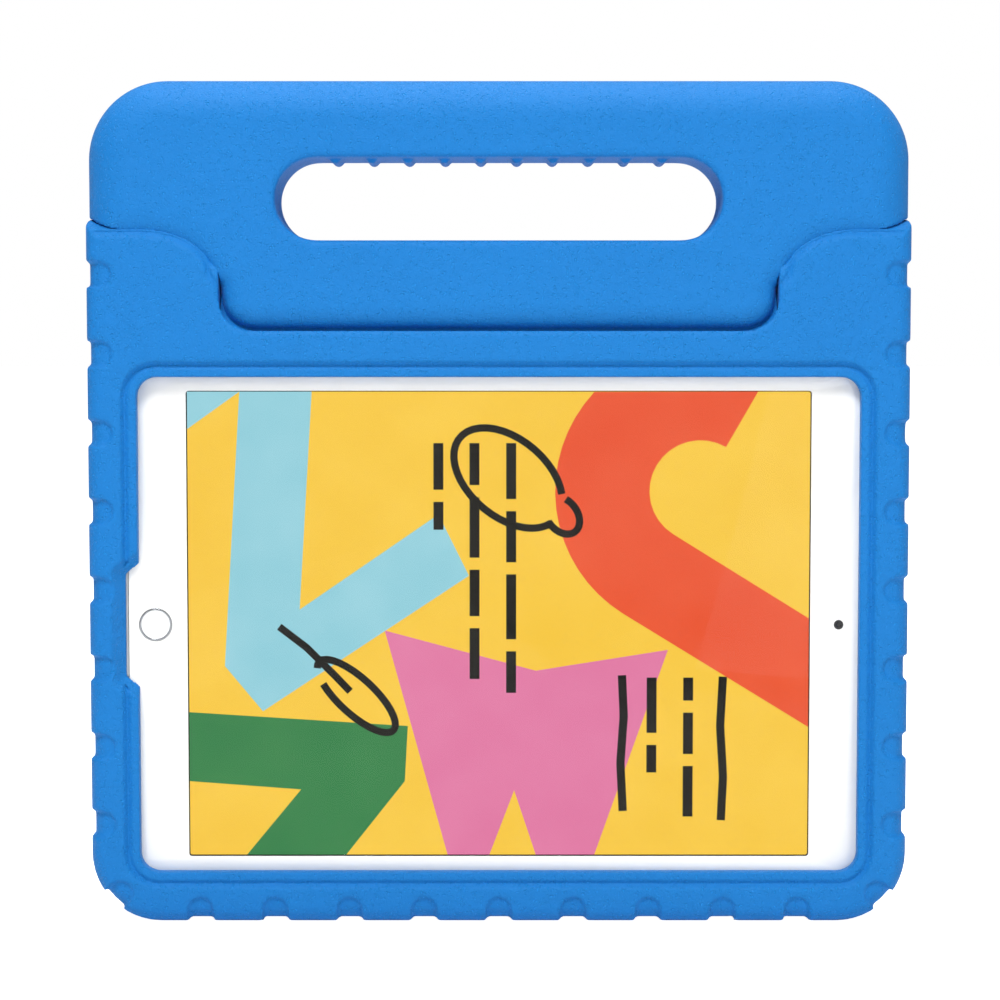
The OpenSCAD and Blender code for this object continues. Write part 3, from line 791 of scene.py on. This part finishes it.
picture = {
    "picture_sky_band": ("light_blue", [
        (0.084, 0.0), (0.20, 0.0), (0.179, 0.468), (0.403, 0.263), (0.452, 0.395),
        (0.119, 0.688), (0.058, 0.59)]),
    "picture_corner": ("light_blue", [(0.0, 0.0), (0.084, 0.0), (0.0, 0.08)]),
    "picture_arch": ("orange", (
        picture_arc(0.824, 0.213, 48.5 * mm, 137, 238) + [(1.0, 0.722), (1.0, 0.487)]
        + picture_arc(0.824, 0.213, 17 * mm, 238, 60) + [(0.916, 0.0)])),
    "picture_leaf": ("green", [
        (0.0, 0.69), (0.353, 0.72), (0.348, 0.84), (0.253, 1.0), (0.092, 1.0), (0.18, 0.858),
        (0.0, 0.84)]),
    "picture_petal": ("pink", [
        (0.316, 0.513), (0.56, 0.60), (0.773, 0.555), (0.655, 1.0), (0.56, 1.0), (0.525, 0.86),
        (0.485, 1.0), (0.417, 1.0)]),
}


def oval(u, v, wide, high, lean, start, end, steps=36):
    """Points on a leaning oval, by its half sizes in metres."""
    made = []
    for i in range(steps + 1):
        a = radians(start + (end - start) * i / steps)
        x, z = wide * cos(a), high * sin(a)
        turned = x * cos(lean) - z * sin(lean), x * sin(lean) + z * cos(lean)
        made.append((u + turned[0] / (2 * lit_x), v - turned[1] / (2 * lit_z)))
    return made


bar_width = 0.016
bar_gap = 0.026


def bars(u, v, lengths):
    """A column of upright bars, from v down."""
    left, right = u - bar_width / 2, u + bar_width / 2
    made = []
    for length in lengths:
        made.append([(left, v), (right, v), (right, v + length), (left, v + length)])
        v += length + bar_gap
    return made


strokes = {
    "stroke_loop": stroke(oval(0.515, 0.185, 21 * mm, 13 * mm, -0.7, 35, 350)),
    "stroke_tail": stroke(oval(0.602, 0.265, 7 * mm, 5 * mm, -0.9, 120, -100, 16)),
    "stroke_curl": stroke([(0.146, 0.505), (0.19, 0.55), (0.235, 0.61), (0.26, 0.645)]),
    "stroke_curl_end": stroke(oval(0.27, 0.655, 17 * mm, 6 * mm, -0.75, 200, -130, 30)),
    "stroke_left": stroke([(0.699, 0.61), (0.702, 0.70), (0.697, 0.80), (0.701, 0.905)],
                          0.7 * mm),
    "stroke_right": stroke([(0.862, 0.613), (0.858, 0.72), (0.863, 0.83), (0.86, 0.925)],
                           0.7 * mm),
}
columns = (bars(0.520, 0.11, (0.12, 0.11, 0.14, 0.09))
           + bars(0.461, 0.11, (0.09, 0.13, 0.10, 0.11))
           + bars(0.403, 0.11, (0.10, 0.06))
           + bars(0.806, 0.615, (0.05, 0.09, 0.11))
           + bars(0.747, 0.615, (0.12, 0.06)))


# ---- materials ----

def colour(hexa):
    """A screen colour as the linear value that a shader takes."""
    parts = [int(hexa[i:i + 2], 16) / 255 for i in (1, 3, 5)]
    return tuple(p / 12.92 if p <= 0.04045 else ((p + 0.055) / 1.055) ** 2.4 for p in parts) + (1,)


def group_of(name, inputs, outputs):
    """An empty shader group, with its inputs' names and first values and its outputs' names."""
    group = bpy.data.node_groups.new(name, "ShaderNodeTree")
    for label, start in inputs.items():
        socket = group.interface.new_socket(label, in_out="INPUT", socket_type="NodeSocketFloat")
        socket.default_value = start
    for label in outputs:
        group.interface.new_socket(label, in_out="OUTPUT", socket_type="NodeSocketFloat")
    source = group.nodes.new("NodeGroupInput")
    sink = group.nodes.new("NodeGroupOutput")
    return group, source, sink


def feed(tree, value, socket):
    """Links a node's output to a socket, or sets the socket to a plain value."""
    if hasattr(value, "default_value"):
        tree.links.new(value, socket)
    else:
        socket.default_value = value


def own_place(tree):
    """The Object coordinates, which every pattern is laid in."""
    return tree.nodes.new("ShaderNodeTexCoord").outputs["Object"]


def texture(tree, kind, vector, scale, detail=2.0, roughness=0.5):
    """A Noise or Voronoi texture, whose scale is a number or a socket."""
    node = tree.nodes.new("ShaderNodeTex" + kind)
    tree.links.new(vector, node.inputs["Vector"])
    feed(tree, scale, node.inputs["Scale"])
    if "Detail" in node.inputs:
        node.inputs["Detail"].default_value = detail
    if kind == "Noise":
        node.inputs["Roughness"].default_value = roughness
    return node


def sums(tree, operation, a, b):
    """A Math node on sockets or plain numbers."""
    node = tree.nodes.new("ShaderNodeMath")
    node.operation = operation
    feed(tree, a, node.inputs[0])
    feed(tree, b, node.inputs[1])
    return node.outputs[0]


def spread(tree, value, low, high, to_low=0.0, to_high=1.0):
    """Maps a value from one range to another, held at the ends."""
    node = tree.nodes.new("ShaderNodeMapRange")
    tree.links.new(value, node.inputs["Value"])
    for label, start in (("From Min", low), ("From Max", high), ("To Min", to_low),
                         ("To Max", to_high)):
        node.inputs[label].default_value = start
    return node.outputs["Result"]


def blend_colour(tree, mask, a, b):
    """Mixes two colours by a mask."""
    node = tree.nodes.new("ShaderNodeMix")
    node.data_type = "RGBA"
    tree.links.new(mask, node.inputs["Factor"])
    feed(tree, a, node.inputs[6])
    feed(tree, b, node.inputs[7])
    return node.outputs[2]


def grain_group():
    """Fine leather-like grain: a height, and a mask of the small hollows."""
    group, source, sink = group_of(
        "Moulded grain", {"Scale": 1200.0, "Depth": 1.0}, ("Height", "Hollows"))
    place = own_place(group)
    scale = source.outputs["Scale"]
    cells = texture(group, "Voronoi", place, scale)
    cells.feature = "F1"
    small = texture(group, "Noise", place, sums(group, "MULTIPLY", scale, 2.2), 3)
    wide = texture(group, "Noise", place, sums(group, "MULTIPLY", scale, 0.25), 2)
    hollows = spread(group, cells.outputs["Distance"], 0.25, 0.75)
    rough = sums(group, "ADD", sums(group, "MULTIPLY", hollows, 0.6),
                 sums(group, "MULTIPLY", small.outputs["Fac"], 0.5))
    rough = sums(group, "ADD", rough, sums(group, "MULTIPLY", wide.outputs["Fac"], 0.6))
    group.links.new(sums(group, "MULTIPLY", rough, source.outputs["Depth"]),
                    sink.inputs["Height"])
    group.links.new(hollows, sink.inputs["Hollows"])
    return group


def drift_group():
    """Slow changes of tone over a surface, from -1 to 1, and specks of handling wear."""
    group, source, sink = group_of("Tone drift", {"Scale": 20.0}, ("Drift", "Specks"))
    place = own_place(group)
    slow = texture(group, "Noise", place, source.outputs["Scale"], 3)
    fine = texture(group, "Noise", place,
                   sums(group, "MULTIPLY", source.outputs["Scale"], 14.0), 4, 0.65)
    group.links.new(spread(group, slow.outputs["Fac"], 0.3, 0.7, -1.0, 1.0),
                    sink.inputs["Drift"])
    group.links.new(spread(group, fine.outputs["Fac"], 0.6, 0.78), sink.inputs["Specks"])
    return group


def brushed_group():
    """Fine lines along X, as brushing or rolling leaves on sheet metal."""
    group, source, sink = group_of("Brushed lines", {"Scale": 900.0}, ("Lines",))
    place = own_place(group)
    squeeze = group.nodes.new("ShaderNodeMapping")
    group.links.new(place, squeeze.inputs["Vector"])
    squeeze.inputs["Scale"].default_value = (0.04, 1.0, 1.0)
    lines = texture(group, "Noise", squeeze.outputs["Vector"],
                    source.outputs["Scale"], 3)
    group.links.new(lines.outputs["Fac"], sink.inputs["Lines"])
    return group


grain = grain_group()
drift = drift_group()
brushed = brushed_group()


def use(tree, group, **values):
    """Places a shader group in a material, with its own values."""
    node = tree.nodes.new("ShaderNodeGroup")
    node.node_tree = group
    for label, value in values.items():
        node.inputs[label].default_value = value
    return node


def finish_of(name, **plain):
    """A material with its Principled shader, whose plain values are set on the sockets."""
    material = bpy.data.materials.new(name)
    material.use_nodes = True
    tree = material.node_tree
    shader = tree.nodes["Principled BSDF"]
    for label, value in plain.items():
        shader.inputs[label.replace("_", " ")].default_value = value
    return material, tree, shader


def bump(tree, shader, height, strength, distance):
    node = tree.nodes.new("ShaderNodeBump")
    node.inputs["Strength"].default_value = strength
    node.inputs["Distance"].default_value = distance
    tree.links.new(height, node.inputs["Height"])
    tree.links.new(node.outputs["Normal"], shader.inputs["Normal"])


def drifting(tree, tone, dark, light):
    """A colour that goes from dark to light with the tone's drift."""
    mask = spread(tree, tone.outputs["Drift"], -1.0, 1.0)
    return blend_colour(tree, mask, colour(dark), colour(light))


def toned(tree, shader, dark, light, scale, rough, swing=0.05):
    """Base colour and roughness that drift a little over the surface."""
    tone = use(tree, drift, Scale=scale)
    tree.links.new(drifting(tree, tone, dark, light), shader.inputs["Base Color"])
    wear = sums(tree, "ADD", sums(tree, "MULTIPLY", tone.outputs["Drift"], swing / 2),
                sums(tree, "MULTIPLY", tone.outputs["Specks"], -swing))
    tree.links.new(sums(tree, "ADD", wear, rough), shader.inputs["Roughness"])


def foam_finish():
    """Smooth-skinned moulded foam: satin, with a fine grain, paler handled places, and painted
    shade that darkens the grain's small hollows.
    """
    material, tree, shader = finish_of("moulded_foam", IOR=1.45)
    shader.inputs["Sheen Weight"].default_value = 0.05
    shader.inputs["Sheen Roughness"].default_value = 0.4
    shader.inputs["Specular IOR Level"].default_value = 0.3
    tone = use(tree, drift, Scale=16.0)
    skin_grain = use(tree, grain, Scale=780.0, Depth=1.0)
    base = drifting(tree, tone, "#108ee0", "#1494e8")
    pale = sums(tree, "MULTIPLY", tone.outputs["Specks"], 0.1)
    base = blend_colour(tree, pale, base, colour("#2aa0f0"))
    # painted shade: the grain's small hollows are darkened towards a deeper blue
    painted_hollow_shade = sums(tree, "MULTIPLY", skin_grain.outputs["Hollows"], 0.7)
    base = blend_colour(tree, painted_hollow_shade, base, colour("#0b6cb8"))
    tree.links.new(base, shader.inputs["Base Color"])
    rough = sums(tree, "ADD", sums(tree, "MULTIPLY", skin_grain.outputs["Hollows"], 0.08), 0.5)
    tree.links.new(rough, shader.inputs["Roughness"])
    bump(tree, shader, skin_grain.outputs["Height"], 1.0, 0.0006)
    return material


def metal_finish(name, dark, light, rough, line_scale=900.0, depth=0.05):
    material, tree, shader = finish_of(name, Metallic=1.0)
    toned(tree, shader, dark, light, 60.0, rough)
    lines = use(tree, brushed, Scale=line_scale)
    bump(tree, shader, lines.outputs["Lines"], depth, 0.00002)
    return material


def plastic_finish(name, dark, light, rough, grain_scale=2500.0, depth=0.08, coat=0.0):
    material, tree, shader = finish_of(name, IOR=1.46)
    shader.inputs["Coat Weight"].default_value = coat
    shader.inputs["Coat Roughness"].default_value = 0.05
    toned(tree, shader, dark, light, 40.0, rough)
    fine = use(tree, grain, Scale=grain_scale, Depth=1.0)
    bump(tree, shader, fine.outputs["Height"], depth, 0.00002)
    return material


def glass_finish():
    """Clear glass with a coating that takes away most of its reflections."""
    material, tree, shader = finish_of("clear_glass", IOR=1.2)
    shader.inputs["Transmission Weight"].default_value = 1.0
    shader.inputs["Base Color"].default_value = (1, 1, 1, 1)
    tone = use(tree, drift, Scale=5.0)
    tree.links.new(spread(tree, tone.outputs["Drift"], -1.0, 1.0, 0.0, 0.01),
                   shader.inputs["Roughness"])
    return material


def border_finish():
    """White paint under glossy glass."""
    material, tree, shader = finish_of("white_glass", IOR=1.5)
    shader.inputs["Coat Weight"].default_value = 0.6
    shader.inputs["Coat Roughness"].default_value = 0.03
    toned(tree, shader, "#faf9f5", "#fefdfa", 12.0, 0.24, 0.04)
    return material


def picture_finish(name, dark, light):
    """A lit patch of the picture, whose tone drifts a little."""
    material, tree, shader = finish_of(name, Roughness=0.5)
    place = own_place(tree)
    cells = texture(tree, "Noise", place, 45.0, 2)
    mask = spread(tree, cells.outputs["Fac"], 0.3, 0.7)
    lit = blend_colour(tree, mask, colour(dark), colour(light))
    shader.inputs["Base Color"].default_value = (0.005, 0.005, 0.005, 1)
    shader.inputs["Specular IOR Level"].default_value = 0.0
    tree.links.new(lit, shader.inputs["Emission Color"])
    shader.inputs["Emission Strength"].default_value = 1.02
    return material


def board_finish():
    """Green board with paler copper runs."""
    material, tree, shader = finish_of("circuit_board", Roughness=0.4)
    shader.inputs["Coat Weight"].default_value = 0.3
    place = own_place(tree)
    runs = texture(tree, "Voronoi", place, 420.0)
    runs.distance = "MANHATTAN"
    mask = spread(tree, runs.outputs["Distance"], 0.42, 0.5)
    tree.links.new(blend_colour(tree, mask, colour("#145239"), colour("#2f7d55")),
                   shader.inputs["Base Color"])
    bump(tree, shader, runs.outputs["Distance"], 0.15, 0.00005)
    return material


def flex_finish():
    """Amber film with darker copper lines along its length."""
    material, tree, shader = finish_of("flex_film", Roughness=0.35, IOR=1.5)
    place = own_place(tree)
    lines = tree.nodes.new("ShaderNodeTexWave")
    lines.bands_direction = "Z"
    tree.links.new(place, lines.inputs["Vector"])
    lines.inputs["Scale"].default_value = 400.0
    tree.links.new(blend_colour(tree, lines.outputs["Fac"], colour("#b9741f"),
                                colour("#e0a14a")), shader.inputs["Base Color"])
    bump(tree, shader, lines.outputs["Fac"], 0.1, 0.00003)
    return material


def pouch_finish():
    """The battery's laminated pouch, softly wrinkled."""
    material, tree, shader = finish_of("battery_pouch", Metallic=0.2, IOR=1.5)
    toned(tree, shader, "#2c2e32", "#3d4046", 30.0, 0.42)
    place = own_place(tree)
    folds = texture(tree, "Noise", place, 55.0, 4)
    bump(tree, shader, folds.outputs["Fac"], 0.25, 0.0004)
    return material


def floor_finish():
    material, tree, shader = finish_of("pale_floor", Roughness=0.85)
    tone = use(tree, drift, Scale=1.5)
    tree.links.new(drifting(tree, tone, "#f3f4f5", "#f8f8f9"), shader.inputs["Base Color"])
    shader.inputs["Emission Color"].default_value = (1, 1, 1, 1)
    seen = tree.nodes.new("ShaderNodeLightPath").outputs["Is Camera Ray"]
    tree.links.new(spread(tree, seen, 0.0, 1.0, 0.05, 1.0), shader.inputs["Emission Strength"])
    return material


foam = foam_finish()
steel = metal_finish("rolled_steel", "#a9acb1", "#c4c7cb", 0.32)
housing_metal = metal_finish("blasted_aluminium", "#c3c6ca", "#d3d6d9", 0.42, 2400.0, 0.03)
ring_metal = metal_finish("polished_ring", "#a5a8ad", "#bfc2c6", 0.22)
can_metal = metal_finish("tinned_can", "#b3b6ba", "#cccfd2", 0.38, 700.0)
pin_plastic = plastic_finish("white_pin", "#dfe2e5", "#eceef0", 0.42)
button_white = plastic_finish("white_button", "#f3f4f6", "#fafbfc", 0.25, coat=0.3)
dark_plastic = plastic_finish("dark_plastic", "#26282c", "#34363b", 0.5)
seal_foam = plastic_finish("black_seal", "#1d1e20", "#2c2d30", 0.75, 1500.0, 0.2)
camera_black = plastic_finish("camera_black", "#0c0d0f", "#15171a", 0.22, coat=0.5)
antenna_plastic = plastic_finish("antenna_plastic", "#dcd8cc", "#e9e5da", 0.5)
module_metal = metal_finish("display_frame", "#6e7176", "#8a8d92", 0.4)
clear_glass = glass_finish()
white_glass = border_finish()
board = board_finish()
flex = flex_finish()
pouch = pouch_finish()

carried_over = {
    "hinge_pin_left": pin_plastic, "hinge_pin_right": pin_plastic,
    "rear_housing": housing_metal, "glass_gasket": seal_foam, "display_panel": module_metal,
    "display_screws": steel, "home_button_bracket": steel, "home_button_cable": flex,
    "display_cable": flex, "touch_cable": flex, "front_camera": camera_black,
    "rear_camera": dark_plastic, "rear_camera_lens": camera_black,
    "battery_cell_upper": pouch, "battery_cell_lower": pouch, "logic_board": board,
    "shield_cans": can_metal, "speaker_upper": dark_plastic, "speaker_lower": dark_plastic,
    "charge_port": steel, "headphone_jack": dark_plastic, "power_switch": dark_plastic,
    "volume_switches": dark_plastic, "antennas": antenna_plastic, "microphone": steel,
}
for node, material in carried_over.items():
    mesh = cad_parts[node].data
    mesh.materials.clear()
    mesh.materials.append(material)


# ---- pieces onto their bodies ----

def fit(piece, material, body, slot, *nodes):
    """Gives a piece its finish and its body, and hides the CAD nodes that it stands for; the slot
    is not used.
    """
    piece.data.materials.clear()
    piece.data.materials.append(material)
    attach(piece, body)
    if nodes:
        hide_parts(*nodes)
    return piece


fit(foam_body(), foam, "case", "foam", "foam_case")
fit(foam_handle(), foam, "handle", "foam", "handle")
fit(glass_border(), white_glass, "case", "glass_front", "cover_glass")
fit(screen_glass(), clear_glass, "case", "glass_front")
fit(camera_eye(), camera_black, "case", "camera_black")
fit(home_cap(), button_white, "home_key", "button_white", "home_button")
fit(home_ring(), ring_metal, "case", "ring_metal", "home_button_ring")
fit(edge_key("power_key_cap", "power_button", "X"), housing_metal, "power_key", "steel",
    "power_button")
fit(edge_key("volume_up_cap", "volume_up_button", "Z"), housing_metal, "volume_up_key", "steel",
    "volume_up_button")
fit(edge_key("volume_down_cap", "volume_down_button", "Z"), housing_metal, "volume_down_key",
    "steel", "volume_down_button")

picture_tones = {
    "yellow": ("#f6c743", "#f9cc4b"), "light_blue": ("#8fccd9", "#9ad2de"),
    "orange": ("#e95632", "#ed5e3b"), "green": ("#37804a", "#3f864e"),
    "pink": ("#df78a2", "#e380a8"), "ink": ("#1b1a18", "#24221f"),
}
tones = {name: picture_finish("picture_" + name, *pair) for name, pair in picture_tones.items()}
edge = prism("picture_edge", lit_outline(0.6 * mm), picture_y - 0.004 * mm,
             picture_y - 0.001 * mm)
fit(edge, tones["ink"], "case", "display")
ground = prism("picture_ground", lit_outline(), picture_y - 0.012 * mm, picture_y - 0.006 * mm)
fit(ground, tones["yellow"], "case", "display")
for name, (tone, outline) in picture.items():
    fit(card(name, outline, 1), tones[tone], "case", "display")
for name, outline in strokes.items():
    fit(card(name, outline, 2), tones["ink"], "case", "display")
for i, outline in enumerate(columns):
    fit(card(f"bar_{i}", outline, 2), tones["ink"], "case", "display")


# ---- floor, lights and camera ----

sky_light = 0.26
lens_mm = 85.54
camera_at = (0.42 * mm, -800 * mm, 191.1 * mm)
camera_dip = 0.062


def studio():
    bpy.ops.object.select_all(action="DESELECT")
    bpy.ops.mesh.primitive_plane_add(size=60, location=(0, 0, 0))
    floor = bpy.context.object
    floor.name = "floor"
    floor.data.materials.append(floor_finish())

    world = bpy.data.worlds.new("studio")
    bpy.context.scene.world = world
    world.use_nodes = True
    sky = world.node_tree.nodes["Background"]
    sky.inputs["Color"].default_value = (1.0, 1.0, 1.0, 1)
    seen = world.node_tree.nodes.new("ShaderNodeLightPath").outputs["Is Camera Ray"]
    strength = spread(world.node_tree, seen, 0.0, 1.0, sky_light, 1.0)
    world.node_tree.links.new(strength, sky.inputs["Strength"])

    def softbox(name, place, target, size, power):
        data = bpy.data.lights.new(name, "AREA")
        data.shape = "RECTANGLE"
        data.size, data.size_y = size
        data.energy = power
        lamp = bpy.data.objects.new(name, data)
        bpy.context.collection.objects.link(lamp)
        lamp.location = place
        aim = (Vector(target) - Vector(place)).to_track_quat("-Z", "Y")
        lamp.rotation_euler = aim.to_euler()

    softbox("key_light", (-0.25, -1.0, 1.6), (0, 0, 0.14), (0.7, 0.5), 27.0)
    softbox("fill_light", (0.9, -1.3, 0.5), (0, 0, 0.14), (0.9, 0.9), 4.5)
    softbox("top_light", (0.0, 0.3, 1.4), (0, 0, 0.2), (1.2, 0.6), 9.0)


def camera():
    data = bpy.data.cameras.new("camera")
    data.sensor_width = 36.0
    data.lens = lens_mm
    data.clip_start = 0.01
    eye = bpy.data.objects.new("camera", data)
    bpy.context.collection.objects.link(eye)
    eye.location = camera_at
    eye.rotation_euler = (pi / 2 - camera_dip, 0, 0)
    bpy.context.scene.camera = eye
    bpy.context.scene.view_settings.view_transform = "Standard"
    bpy.context.scene.view_settings.look = "None"


studio()
camera()
